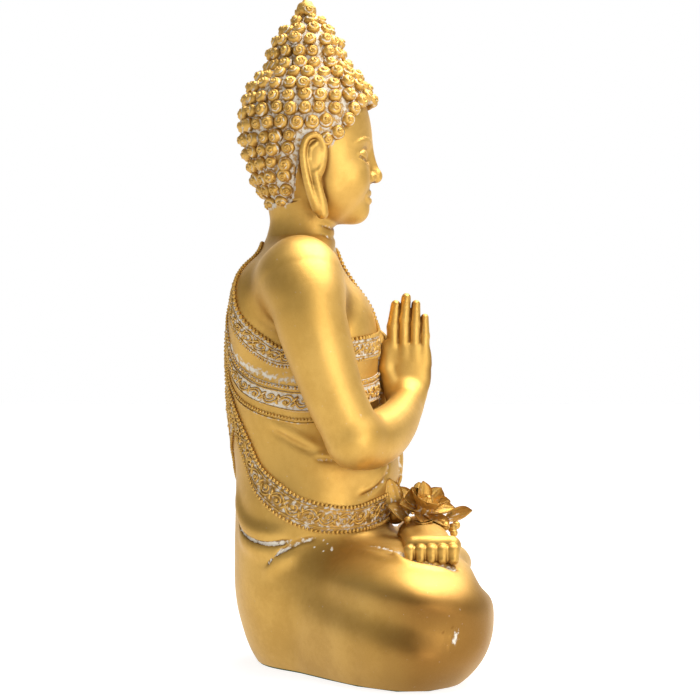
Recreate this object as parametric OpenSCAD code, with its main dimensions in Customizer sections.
// Seated praying statue: a hollow cast figure with separately cast head, arms, hands, foot,
// robe trimmings, hair curls and lotus spray, closed underneath by a plate and a felt.
// The figure faces -Y, its left hand side is +X, and the felt's underside is z = 0.

/* [Size] */
// Height of the whole statue
figure_h = 400; // [300:10:500]

/* [Casting] */
// Wall of the hollow body at the waist
wall = 6; // [5:0.5:8]
// Thickness of the felt under the base
felt_t = 1; // [1:0.25:2]
// Thickness of the plate that closes the base
plate_t = 3; // [2.5:0.5:4]
// Radius of the steel rod in the neck
neck_rod_r = 4; // [3:0.5:5]
// Radius of the dowels in the shoulders
arm_dowel_r = 3; // [2:0.5:4]

/* [Hair] */
// Radius of one hair curl at its foot
curl_r = 3.9; // [3:0.1:4]
// Height of one hair curl
curl_h = 4.6; // [3:0.2:5]
// Distance between neighbouring curls
curl_pitch = 8.6; // [8:0.1:10]

/* [Trimmings] */
// Radius of one moulded bead
bead_r = 1.1; // [0.8:0.1:1.3]
// Distance between neighbouring beads on the trimmed edges
bead_pitch = 2.9; // [2.7:0.1:4]
// How far a robe trimming stands off the body
trim_t = 1.5; // [1:0.1:2]

/* [Lotus] */
// Length of an outer lotus petal
petal_l = 19; // [15:1:22]
// Petals in each of the two rings
petal_count = 7; // [5:1:8]

/* [Hidden] */

design_h = 400;
fit_gap = 0.1;      // clearance between a part and the one it is bonded to
body_axis = -22;    // forward position of the vertical axis that the body's rings turn around
head_axis = -25;    // the same for the head's rings
neck_z = 256;       // joint between body and head
shoulder_x = 60;    // joint between body and arms
shoulder = [-26, 224]; // forward and height of the shoulder dowels
boss_r = 15;
boss_h = 26;
neck_y = 30;        // place of the neck rod, half of it on each side of the neck joint
neck_rod_h = 88;

// Body sections: height, reach back, reach forward, half width
TORSO = [
    [0, 50, 14, 38], [8, 56, 16, 42], [18, 61, 18, 46], [36, 67, 21, 53], [60, 69.5, 22, 57],
    [97, 69, 24, 57], [115, 69, 24, 55], [133, 71, 21, 54], [152, 73, 18, 55.5], [170, 74, 17, 57.5],
    [188, 74.5, 18.5, 59], [206, 72, 15.5, 59.5], [220, 68, 8.5, 59.5], [230, 65, 2.5, 58.5],
    [238, 61, -2, 54], [245, 57.5, -5.5, 43], [250, 54.5, -7.5, 31], [254, 52, -8.5, 24],
    [258, 50, -9.5, 20.5]
];
torso_power = 2.3;
// Lap outline: bearing from straight ahead, reach from the lap's centre, rounding below its middle
LAP = [
    [-30, 78, 50], [0, 67, 50], [30, 82, 50], [48, 114, 51], [57, 130, 55], [66, 138, 61],
    [76, 139, 67], [84, 127, 67], [92, 109, 67], [104, 87, 67], [118, 73, 67], [135, 65, 67],
    [152, 63, 67], [180, 65, 67], [208, 63, 67]
];
lap_centre = 5;
lap_mid_z = 38;
lap_up = 41;
lap_power = 2.4;
// Head sections, in the body's terms
HEAD = [
    [250, 52, -8, 23], [256, 50.5, -8.5, 21], [262, 49, -8, 19.5], [266, 48, -2, 20.5],
    [269.5, 48, 6, 24], [275, 50, 10, 28], [283, 54, 11, 31], [293, 58, 12, 33.5],
    [305, 61, 13, 35], [318, 62, 13.5, 36], [332, 61, 12, 35.5], [344, 56, 7, 32],
    [353, 48, -1, 25.5], [359, 39.5, -9, 17.5], [363, 28, -20, 5]
];
head_power = 2.15;
head_mid = [0, 25, 318];
head_top = 363;
hair_scale = 1.1;
// Hairline: bearing from straight ahead, height
HAIRLINE = [
    [0, 334], [30, 333], [50, 326], [62, 317], [75, 311], [88, 312], [98, 296],
    [108, 281], [125, 275], [180, 273]
];

// ---- shared functions ----

function clamp01(t) = min(max(t, 0), 1);
function key_index(t, k, i = 0) = i >= len(k) - 2 || t < k[i + 1][0] ? i : key_index(t, k, i + 1);
// Smooth curve through the rows of k, which start with the value that t is looked up in
function smooth(t, k) =
    let (i = key_index(t, k), a = k[max(i - 1, 0)], b = k[i], c = k[i + 1],
        d = k[min(i + 2, len(k) - 1)], h = c[0] - b[0], s = clamp01((t - b[0]) / h),
        m0 = (c - a) / (c[0] - a[0]) * h, m1 = (d - b) / (d[0] - b[0]) * h)
    (2*s*s*s - 3*s*s + 1) * b + (s*s*s - 2*s*s + s) * m0 + (3*s*s - 2*s*s*s) * c + (s*s*s - s*s) * m1;
function soft_min(a, b, k) = let (h = max(k - abs(a - b), 0) / k) min(a, b) - h * h * k / 4;
// A point from its bearing (0 ahead, 90 to the figure's left), reach and height about an axis
function polar(a, r, z, axis) = [r * sin(a), -(axis + r * cos(a)), z];
function unit(v) = v / norm(v);

// Signed field of a stack of sections: below 0 inside
function section_field(p, table, power) =
    let (row = smooth(p.z, table), mid = (row[2] - row[1]) / 2, half = (row[2] + row[1]) / 2,
        q = pow(pow(abs(p.x) / row[3], power) + pow(abs(-p.y - mid) / half, power), 1 / power))
    (q - 1) * min(half, row[3]);
function lap_field(p) =
    let (f = -p.y - lap_centre, row = smooth(atan2(abs(p.x), f), LAP),
        v = abs(p.z - lap_mid_z) / (p.z > lap_mid_z ? lap_up : row[2]),
        q = pow(pow(norm([p.x, f]) / row[1], lap_power) + pow(v, lap_power), 1 / lap_power))
    (q - 1) * 50;
function body_field(p) = soft_min(section_field(p, TORSO, torso_power), lap_field(p), 14);
function nose_field(p) = (norm([p.x / 5, (p.y + 13) / 6.5, (p.z - 297) / 11]) - 1) * 5;
function head_field(p) = soft_min(section_field(p, HEAD, head_power), nose_field(p), 4);

// Reach along a bearing at which a field passes the value off
function body_reach(a, z, off, lo = 0, hi = 170, n = 15) =
    let (m = (lo + hi) / 2)
    n == 0 ? m : body_field(polar(a, m, z, body_axis)) < off ? body_reach(a, z, off, m, hi, n - 1)
        : body_reach(a, z, off, lo, m, n - 1);
function head_reach(a, z, lo = 0, hi = 60, n = 14) =
    let (m = (lo + hi) / 2)
    n == 0 ? m : head_field(polar(a, m, z, head_axis)) < 0 ? head_reach(a, z, m, hi, n - 1)
        : head_reach(a, z, lo, m, n - 1);
function on_body(a, z, off) = polar(a, body_reach(a, z, off), z, body_axis);
function on_head(a, z) = polar(a, head_reach(a, z), z, head_axis);
function body_ring(z, off, n) = [for (i = [0:n - 1]) on_body(i * 360 / n, z, off)];
function head_ring(z, n) = [for (i = [0:n - 1]) on_head(i * 360 / n, z)];
function centre_of(ring) = [for (p = ring) 1 / len(ring)] * ring;
// Six times the volume inside a list of triangles, by the right-hand rule
function volume6(points, faces) = [for (f = faces) 1]
    * [for (f = faces) points[f[0]] * cross(points[f[1]], points[f[2]])];

// One closed solid through a list of rings, each with the same number of points
module loft(rings) {
    n = len(rings[0]);
    m = len(rings);
    last = (m - 1) * n;
    points = concat([for (r = rings) each r], [centre_of(rings[0]), centre_of(rings[m - 1])]);
    walls = [for (j = [0:m - 2], i = [0:n - 1]) let (k = (i + 1) % n)
        each [[j*n + i, j*n + k, (j + 1)*n + k], [j*n + i, (j + 1)*n + k, (j + 1)*n + i]]];
    ends = [for (i = [0:n - 1]) let (k = (i + 1) % n)
        each [[k, i, m*n], [last + i, last + k, m*n + 1]]];
    faces = concat(walls, ends);
    polyhedron(points, volume6(points, faces) > 0 ? [for (f = faces) [f[2], f[1], f[0]]] : faces);
}

// A limb: rings square to a path of [x, forward, height, radius] rows, side gives their first axis
module limb(path, side, n = 16) {
    at = [for (p = path) [p[0], -p[1], p[2]]];
    last = len(path) - 1;
    loft([for (j = [0:last])
        let (t = unit(at[min(j + 1, last)] - at[max(j - 1, 0)]), u = unit(cross(t, side)), v = cross(t, u))
        [for (i = [0:n - 1]) at[j] + path[j][3] * (cos(i * 360 / n) * u + sin(i * 360 / n) * v)]]);
}

module left_side() { mirror([1, 0, 0]) children(); }

// ---- body ----

BODY_Z = [felt_t, 5, 11, 20, 32, 44, 54, 62, 68, 72.5, 76.5, 80.5, 85, 92, 102, 116, 134, 152,
    170, 188, 204, 216, 226, 234, 240, 245, 250, neck_z];
CAVITY_Z = [222, 212, 196, 172, 142, 114, 94, 80, 70, 58, 40, 20, felt_t + plate_t + 1];
body_sides = 48;
rebate = 3;

module body_casting() {
    color("goldenrod") difference() {
        union() {
            loft(concat(
                [for (z = CAVITY_Z) body_ring(z, -wall, body_sides)],
                [for (z = [felt_t + plate_t, felt_t]) body_ring(z, -rebate, body_sides)],
                [for (z = BODY_Z) body_ring(z, 0, body_sides)]));
            for (side = [-1, 1]) shoulder_boss(side);
        }
        translate([0, neck_y, neck_z - neck_rod_h / 2 - 1])
            cylinder(r = neck_rod_r + fit_gap, h = neck_rod_h, $fn = 48);
        for (side = [-1, 1]) shoulder_bore(side);
    }
}

module shoulder_boss(side) {
    translate([side * shoulder_x, -shoulder[0], shoulder[1]]) rotate([0, -side * 90, 0])
        cylinder(r = boss_r, h = boss_h, $fn = 48);
}

module shoulder_bore(side) {
    translate([side * (shoulder_x + 1), -shoulder[0], shoulder[1]]) rotate([0, -side * 90, 0])
        cylinder(r = arm_dowel_r + fit_gap, h = arm_dowel_in + 2, $fn = 32);
}

arm_dowel_in = 20;  // length of a dowel inside the body
arm_dowel_out = 17; // length of it inside the arm
vent_r = 9;

module base_plate() {
    color("saddlebrown") difference() {
        loft([for (z = [felt_t, felt_t + plate_t - fit_gap]) body_ring(z, -rebate - 0.4, body_sides)]);
        cylinder(r = vent_r, h = 20, center = true, $fn = 48);
    }
}

module vent_plug() {
    color("dimgray") union() {
        translate([0, 0, felt_t]) cylinder(r = vent_r - fit_gap, h = plate_t - fit_gap, $fn = 48);
        translate([0, 0, felt_t + plate_t]) cylinder(r = vent_r + 2, h = 1.5, $fn = 48);
        translate([0, 0, felt_t]) cylinder(r = vent_r - 1, h = plate_t + 1, $fn = 48);
    }
}

module base_felt() {
    outline = body_ring(felt_t, -1, body_sides);
    color("darkgreen") loft([for (z = [0, felt_t]) [for (p = outline) [p.x, p.y, z]]]);
}

module neck_rod() {
    color("silver") translate([0, neck_y, neck_z - neck_rod_h / 2])
        cylinder(r = neck_rod_r, h = neck_rod_h, $fn = 48);
}

module arm_dowel(side) {
    color("silver") translate([side * (shoulder_x + arm_dowel_out), -shoulder[0], shoulder[1]])
        rotate([0, -side * 90, 0]) cylinder(r = arm_dowel_r, h = arm_dowel_in + arm_dowel_out, $fn = 32);
}

// ---- arms, hands and foot, made for the figure's right and mirrored for its left ----

ARM = [
    [-74, -29, 251, 3], [-74.5, -28.7, 248.5, 10], [-75, -28, 243, 16.5], [-76, -26.5, 233, 20.3],
    [-77.5, -24, 214, 20.6], [-79, -17.5, 190, 19.3], [-80, -7.5, 161, 16.6], [-79.5, -1, 146, 16],
    [-79, 5, 134, 15.5], [-78.5, 8, 127, 13], [-78.3, 10, 121, 7.5], [-78.2, 10.8, 119, 2.5]
];
FOREARM = [
    [-88, 1, 130, 4], [-86, 2.3, 130.8, 9], [-81, 5.4, 132.5, 14], [-72, 11, 134.5, 15.8],
    [-60, 17, 137.5, 15],
    [-46, 23.5, 142, 13.4], [-30, 29.5, 148, 11.8], [-17, 33, 153.5, 10.6], [-13.5, 33.8, 155, 10.2]
];
relief_x = 62.8;    // the arm's inner side is cut back to this where the trimmings pass under it

module right_arm() {
    color("goldenrod") difference() {
        union() {
            limb(ARM, [0, 1, 0.3]);
            limb(FOREARM, [0, 0.4, 1]);
        }
        translate([40 - shoulder_x - fit_gap, 0, 240]) cube([80, 160, 80], center = true);
        translate([40 - relief_x, 40, 180]) cube([80, 80, 60], center = true);
        translate([2 - shoulder_x, -shoulder[0], shoulder[1]]) rotate([0, -90, 0])
            cylinder(r = arm_dowel_r + fit_gap, h = arm_dowel_out + 3, $fn = 32);
    }
}

// Palm sections: height, forward, half width, distance from the mid plane, half thickness
PALM = [
    [150.5, 31, 8, 13.5, 8], [154, 32.2, 10.4, 12.6, 9], [160, 34, 12.6, 10.2, 8.6],
    [168, 35.4, 13.9, 7.8, 7.2],
    [178, 35.8, 14.2, 6, 5.6], [186, 35.6, 13.9, 5.2, 4.8], [193, 35.4, 12.6, 4.6, 4.2]
];
// Fingers: forward and height of the root, of the tip, radius at the root and at the tip
FINGERS = [
    [[25, 187], [27.2, 215.2], 3.6, 2.3], [[32.2, 189], [33.6, 220], 3.7, 2.5],
    [[39.6, 188.5], [39.2, 215], 3.5, 2.3], [[45.9, 186], [44, 207.6], 3.1, 2]
];
THUMB = [[23.5, 166], [20.6, 190], 4.2, 2.9];

function ellipse_ring(x, f, z, rx, rf, n) = [for (i = [0:n - 1]) let (turn = i * 360 / n)
    [x + rx * cos(turn), -f + rf * sin(turn), z]];

module finger_bone(a, b, ra, rb) {
    hull() {
        translate([-ra - 0.3, -a[0], a[1]]) sphere(r = ra, $fn = 16);
        translate([-rb - 0.3, -b[0], b[1]]) sphere(r = rb, $fn = 16);
    }
}

module right_hand() {
    color("goldenrod") union() {
        loft([for (p = PALM) ellipse_ring(-p[3], p[1], p[0], p[4], p[2], 20)]);
        for (d = concat(FINGERS, [THUMB])) {
            mid = (d[0] + d[1]) / 2;
            mid_r = (d[2] + d[3]) / 2 + 0.25;
            finger_bone(d[0], mid, d[2], mid_r);
            finger_bone(mid, d[1], mid_r, d[3]);
        }
    }
}

foot_heel = [-22, -40, 88];
foot_arch = [-52, -44.5, 82.5];
foot_r = 8;

module left_foot() {
    color("goldenrod") union() {
        hull() {
            translate(foot_heel) sphere(r = foot_r, $fn = 20);
            translate(foot_arch) sphere(r = foot_r, $fn = 20);
        }
        hull() {
            translate(foot_arch) sphere(r = foot_r - 0.5, $fn = 20);
            for (i = [0:4]) toe_root(i);
        }
        for (i = [0:4]) {
            hull() {
                toe_root(i);
                toe_tip(i);
            }
            hull() {
                toe_tip(i);
                toe_pad(i);
            }
        }
    }
}

function toe_r(i) = i == 4 ? 3.7 : 2.6 + 0.1 * i;
module toe_at(x, i, z) {
    translate([x, -(38.5 + i * 4.6 + (i == 4 ? 1 : 0)), z]) sphere(r = toe_r(i), $fn = 16);
}
module toe_root(i) { toe_at(-78, i, 80.5 - toe_r(i) / 2 - abs(i - 3) * 0.4); }
module toe_tip(i) { toe_at(-86 - i * 0.5, i, 77 - abs(i - 3) * 0.4); }
module toe_pad(i) { toe_at(-87.5 - i * 0.5, i, 72.5 - abs(i - 3) * 0.4); }

// ---- head ----

HEAD_Z = [neck_z + fit_gap, 260, 264, 267, 270, 274, 279, 285, 291, 297, 304, 312, 321, 330, 338, 345,
    351, 356, 359.5, 362];

module head() {
    color("goldenrod") difference() {
        loft([for (z = HEAD_Z) head_ring(z, 44)]);
        translate([0, neck_y, neck_z - 1])
            cylinder(r = neck_rod_r + fit_gap, h = neck_rod_h / 2 + 2, $fn = 48);
    }
}

// Ear sections: height, forward, distance from the mid plane, half length, half thickness
EAR = [
    [316.5, -21, 36.2, 3, 1], [314, -21, 37.2, 6.2, 1.9], [308, -20.6, 38.4, 7.6, 2.6],
    [299, -22, 38.4, 6.6, 2.6], [288, -21, 37.4, 5.2, 2.8], [278, -18, 34.2, 4.9, 3],
    [270, -16, 30.4, 4.8, 3.3], [265.5, -15, 28.6, 3.8, 2.8],
    [263.5, -15, 28, 1.8, 1.2]
];

module ear(side) {
    color("goldenrod") loft([for (e = EAR) ellipse_ring(side * e[2], e[1], e[0], e[4], e[3], 16)]);
}

hair_rings = 10;
hair_sides = 48;
function hair_z(a, t) = let (low = smooth(abs(a > 180 ? a - 360 : a), HAIRLINE)[1])
    head_top - 0.6 - (head_top - 0.6 - low) * (1 - cos(t * 90));
function hair_out(p, k) = head_mid + (p - head_mid) * k;
function hair_ring(t, k) = [for (i = [0:hair_sides - 1])
    let (a = i * 360 / hair_sides) hair_out(on_head(a, hair_z(a, t)), k)];

module hair_cap() {
    color("darkgoldenrod") loft(concat(
        [for (j = [1:hair_rings]) hair_ring(j / hair_rings, 1.004)],
        [for (j = [hair_rings:-1:1]) hair_ring(j / hair_rings, hair_scale)]));
}

// A direction from the head's middle, and the hair's surface along it
function heading(a, e) = [sin(a) * cos(e), -cos(a) * cos(e), sin(e)];
function head_ray(d, lo = 20, hi = 70, n = 12) =
    let (m = (lo + hi) / 2)
    n == 0 ? m : head_field(head_mid + d * m) < 0 && head_mid.z + d.z * m < head_top - 0.6
        ? head_ray(d, m, hi, n - 1) : head_ray(d, lo, m, n - 1);
function over_hairline(a, p) = (p.z - head_mid.z) / hair_scale + head_mid.z > smooth(a, HAIRLINE)[1] + 1.5;
function clear_of_ear(a, p) = a < 78 || a > 112 || p.z > 322;

module standing_curl(at, up) {
    lean = acos(up.z);
    turn = atan2(up.y, up.x);
    translate(at) rotate([0, 0, turn]) rotate([0, lean, 0]) translate([0, 0, -0.25])
        cylinder(r1 = curl_r, r2 = curl_r * 0.42, h = curl_h, $fn = 24);
}

row_step = 11.2;
lowest_row = -44;
module curl_row(j) {
    e = lowest_row + j * row_step;
    count = floor(PI / 180 * 360 * cos(e) * 43 / curl_pitch);
    for (i = [0:count - 1]) {
        a = (i + 0.5) * 360 / count - 180;
        d = heading(a, e);
        at = head_mid + d * head_ray(d) * hair_scale;
        if (over_hairline(abs(a), at) && clear_of_ear(abs(a), at)) standing_curl(at, d);
    }
}

module curl_rows(first, last) { color("goldenrod") for (j = [first:last]) curl_row(j); }

knot_axis = [0, 26, 0];
// Topknot outline: radius, height
KNOT = [[20.5, 361.5], [21, 366], [19.5, 373], [16.5, 380], [12, 386], [8, 390.5], [6, 393]];
knot_seat = [[0, 368.6], [7, 367.8], [14, 365.4], [20.5, 361.5]];

module topknot() {
    color("darkgoldenrod") translate(knot_axis) rotate_extrude($fn = 72)
        polygon(concat([[0, 393]], [for (i = [len(KNOT) - 1:-1:1]) KNOT[i]],
            [for (i = [len(knot_seat) - 1:-1:0]) knot_seat[i]]));
}

module topknot_curls() {
    color("goldenrod") for (j = [0:3]) {
        k = (KNOT[j + 1] + KNOT[j + 2]) / 2;
        slope = KNOT[j + 2] - KNOT[j + 1];
        out = unit([-slope[1], slope[0]]) * -1;
        count = floor(2 * PI * (k[0] + 1) / (curl_pitch * 0.97));
        for (i = [0:count - 1]) {
            a = (i + j % 2 * 0.5) * 360 / count;
            translate(knot_axis) standing_curl([k[0] * cos(a), k[0] * sin(a), k[1]],
                [out[0] * cos(a), out[0] * sin(a), out[1]]);
        }
    }
}

module finial() {
    color("goldenrod") translate(knot_axis) rotate_extrude($fn = 48)
        polygon([[0, 393.1], [4.6, 393.1], [5.9, 394.6], [5.6, 396.4], [3.6, 398], [1.4, 399], [0, 400]]);
}

// ---- robe trimmings: bearing, height of the lower edge, height of the upper edge ----

CHEST_BAND = [[-180, 214, 250], [-170, 204, 242], [-160, 192, 225], [-148, 182, 208], [-130, 174, 194],
    [-110, 171, 189], [-90, 172, 193], [-60, 174, 196], [-30, 176, 198], [-6, 178, 199]];
RIB_BAND = [[-180, 194, 212], [-170, 184, 202], [-160, 172, 190], [-148, 162, 179], [-130, 152, 171],
    [-110, 148.5, 168], [-90, 148.5, 169], [-60, 150, 170], [-30, 152, 172], [-6, 154, 174]];
WAIST_SASH = [[-195, 172, 196], [-180, 168, 192], [-165, 152, 181], [-152, 134, 160], [-140, 116, 137],
    [-120, 98, 118], [-90, 86, 102.5], [-60, 84, 100], [-40, 86, 103], [-18, 88, 112], [0, 90, 114],
    [40, 88, 104], [90, 86, 102.5], [120, 90, 108], [150, 98, 122]];

function strip_ring(k, a, out) = let (row = smooth(a, k))
    concat([for (i = [0:3]) on_body(a, row[1] + (row[2] - row[1]) * i / 3, out)],
        [for (i = [3:-1:0]) on_body(a, row[1] + (row[2] - row[1]) * i / 3, fit_gap)]);

module strip(k, step = 6) {
    first = k[0][0];
    span = k[len(k) - 1][0] - first;
    n = ceil(span / step);
    loft([for (j = [0:n]) strip_ring(k, first + span * j / n, trim_t)]);
}

module chest_band() { color("goldenrod") strip(CHEST_BAND); }
module rib_band() { color("goldenrod") strip(RIB_BAND); }
module waist_sash() { color("goldenrod") strip(WAIST_SASH); }

// Points a bead apart along one edge of a strip
module edge_beads(k, edge, from, to) {
    at = [for (a = [from:2:to]) on_body(a, smooth(a, k)[edge], trim_t + bead_r * 0.55)];
    run = [0, for (i = 1, s = 0; i < len(at); s = s + norm(at[i] - at[i - 1]), i = i + 1)
        s + norm(at[i] - at[i - 1])];
    total = run[len(run) - 1];
    rows = [for (i = [0:len(at) - 1]) [run[i], at[i].x, at[i].y, at[i].z]];
    for (i = [0:floor(total / bead_pitch)]) {
        p = smooth(i * bead_pitch, rows);
        translate([p[1], p[2], p[3]]) sphere(r = bead_r, $fn = 20);
    }
}

module chest_band_beads() { color("gold") edge_beads(CHEST_BAND, 2, -176, -8); }
module rib_band_beads() { color("gold") edge_beads(RIB_BAND, 1, -176, -8); }
module waist_sash_beads() {
    color("gold") {
        edge_beads(WAIST_SASH, 2, -176, -8);
        edge_beads(WAIST_SASH, 1, -176, -20);
    }
}

// The robe that covers the figure's left shoulder, one sheet in front of the arm and one behind it
ROBE_Z = [178, 190, 202, 213, 222, 230, 237, 243, 247.5, 251, 254];
// Height, bearing of the edge near the mid plane, bearing of the edge beside the arm
ROBE_FRONT = [[178, 4, 66], [200, 4, 66], [225, 6, 66], [240, 12, 66], [254, 20, 62]];
ROBE_BACK = [[178, 176, 118], [200, 176, 118], [225, 176, 118], [240, 172, 120], [254, 168, 126]];
module robe_sheet(table) {
    n = 6;
    loft([for (z = ROBE_Z)
        let (row = smooth(z, table), step = (row[2] - row[1]) / n)
        concat([for (i = [0:n]) on_body(row[1] + step * i, z, trim_t)],
            [for (i = [n:-1:0]) on_body(row[1] + step * i, z, fit_gap)])]);
}
module shoulder_robe() {
    color("goldenrod") {
        robe_sheet(ROBE_FRONT);
        robe_sheet(ROBE_BACK);
    }
}

// Pleated panel that hangs from the left shoulder down the front
PANEL_Z = [116, 126, 138, 150, 162, 174, 176.5];
module front_panel() {
    color("goldenrod") loft([for (z = PANEL_Z)
        concat([for (i = [0:5]) on_body(-3 + i * 7, z, 3.2)],
            [for (i = [5:-1:0]) on_body(-3 + i * 7, z, fit_gap)])]);
}

// Raised folds of the robe on both hips: rows of bearing, height and half width
FOLDS = [
    [[-158, 100, 0.6], [-146, 86, 1.3], [-134, 79, 1.6], [-120, 76.5, 1.6], [-106, 76.5, 1.3],
        [-96, 78, 0.5]],
    [[-130, 66, 0.5], [-122, 69.5, 1.2], [-112, 72, 1.3], [-102, 75, 0.4]]
];
module fold(rows) {
    loft([for (a = [rows[0][0]:2:rows[len(rows) - 1][0]])
        let (r = smooth(a, rows), c = on_body(a, r[1], 0.3 + r[2] * 0.7))
        [for (i = [0:7]) c + r[2] * [sin(a) * cos(i * 45), -cos(a) * cos(i * 45), sin(i * 45)]]]);
}
module hip_folds() {
    color("goldenrod") for (rows = FOLDS) {
        fold(rows);
        mirror([1, 0, 0]) fold(rows);
    }
}

// ---- lotus spray ----

lotus_at = [-20, -47, 88];
lotus_lean = 32;
lotus_turn = 215;
module lotus_frame() {
    translate(lotus_at) rotate([0, 0, lotus_turn]) rotate([0, lotus_lean, 0]) children();
}

module lotus_cup() {
    color("darkgoldenrod") lotus_frame() union() {
        rotate_extrude($fn = 40) polygon([[0, -4], [2.2, -4], [3, 0], [5, 4.5], [4.6, 5.4], [0, 5.8]]);
    }
}

// A curved petal that rises from its foot at the cup: width along it follows a sine
module petal(length, half_w, cup, lean) {
    n = 7;
    loft([for (j = [0:n])
        let (t = j / n, w = half_w * pow(sin(12 + 160 * pow(t, 0.9)), 0.8) + 0.15, bend = lean - 34 * t,
            r = 5.2 + length * (t * sin(lean - 17 * t)), z = 1 + length * (t * cos(lean - 17 * t)))
        concat([for (i = [-2:2])
                [r + cup * pow(i / 2, 2) * -w * 0.25, w * i / 2, z + cup * pow(i / 2, 2) * w * 0.4]],
            [for (i = [2:-1:-2]) [r + cup * pow(i / 2, 2) * -w * 0.25 + cos(bend), w * i / 2,
                z + cup * pow(i / 2, 2) * w * 0.4 - sin(bend)]])]);
}

module petal_ring(count, phase, length, half_w, lean) {
    for (i = [0:count - 1]) rotate([0, 0, (i + phase) * 360 / count]) petal(length, half_w, 1, lean);
}

module lotus_inner_petals() {
    color("gold") lotus_frame() petal_ring(petal_count, 0.5, petal_l * 0.72, 3, 34);
}
module lotus_outer_petals() {
    color("gold") lotus_frame() petal_ring(petal_count, 0, petal_l * 0.85, 3.9, 66);
}

module leaf(length, half_w) {
    n = 8;
    loft([for (j = [0:n])
        let (t = j / n, w = half_w * sin(8 + 166 * t), x = length * t, z = 3 * sin(150 * t))
        [[x, -w, z], [x, 0, z - 0.4], [x, w, z], [x, w, z + 1], [x, 0, z + 0.6], [x, -w, z + 1]]]);
}

module lotus_leaves() {
    color("goldenrod") {
        translate([-30, -34, 87]) rotate([0, -24, 62]) leaf(20, 6);
        translate([-36, -44, 83.5]) rotate([0, -14, 100]) leaf(22, 6);
        translate([-14, -59, 82.5]) rotate([0, -26, -60]) leaf(16, 4.5);
    }
}

BUDS = [[-30, 56, 81, 2.8], [-24, 61, 80.5, 3], [-31, 62, 77.5, 2.5], [-38, 36, 81.5, 2.2]];
module lotus_buds() {
    color("gold") for (b = BUDS) translate([b[0], -b[1], b[2]]) sphere(r = b[3], $fn = 28);
}

// ---- one line for each node ----

k = figure_h / design_h;
scale(k) body_casting();
scale(k) base_plate();
scale(k) base_felt();
scale(k) vent_plug();
scale(k) neck_rod();
scale(k) arm_dowel(-1);  // right_arm_dowel
scale(k) arm_dowel(1);  // left_arm_dowel
scale(k) right_arm();
scale(k) left_side() right_arm();  // left_arm
scale(k) right_hand();
scale(k) left_side() right_hand();  // left_hand
scale(k) head();
scale(k) ear(-1);  // right_ear
scale(k) ear(1);  // left_ear
scale(k) hair_cap();
scale(k) curl_rows(0, 3);  // hair_curls_lower
scale(k) curl_rows(4, 6);  // hair_curls_middle
scale(k) curl_rows(7, 8);  // hair_curls_upper
scale(k) topknot();
scale(k) topknot_curls();
scale(k) finial();
scale(k) chest_band();
scale(k) rib_band();
scale(k) waist_sash();
scale(k) shoulder_robe();
scale(k) front_panel();
scale(k) chest_band_beads();
scale(k) rib_band_beads();
scale(k) waist_sash_beads();
scale(k) hip_folds();
scale(k) left_foot();
scale(k) lotus_cup();
scale(k) lotus_inner_petals();
scale(k) lotus_outer_petals();
scale(k) lotus_leaves();
scale(k) lotus_buds();
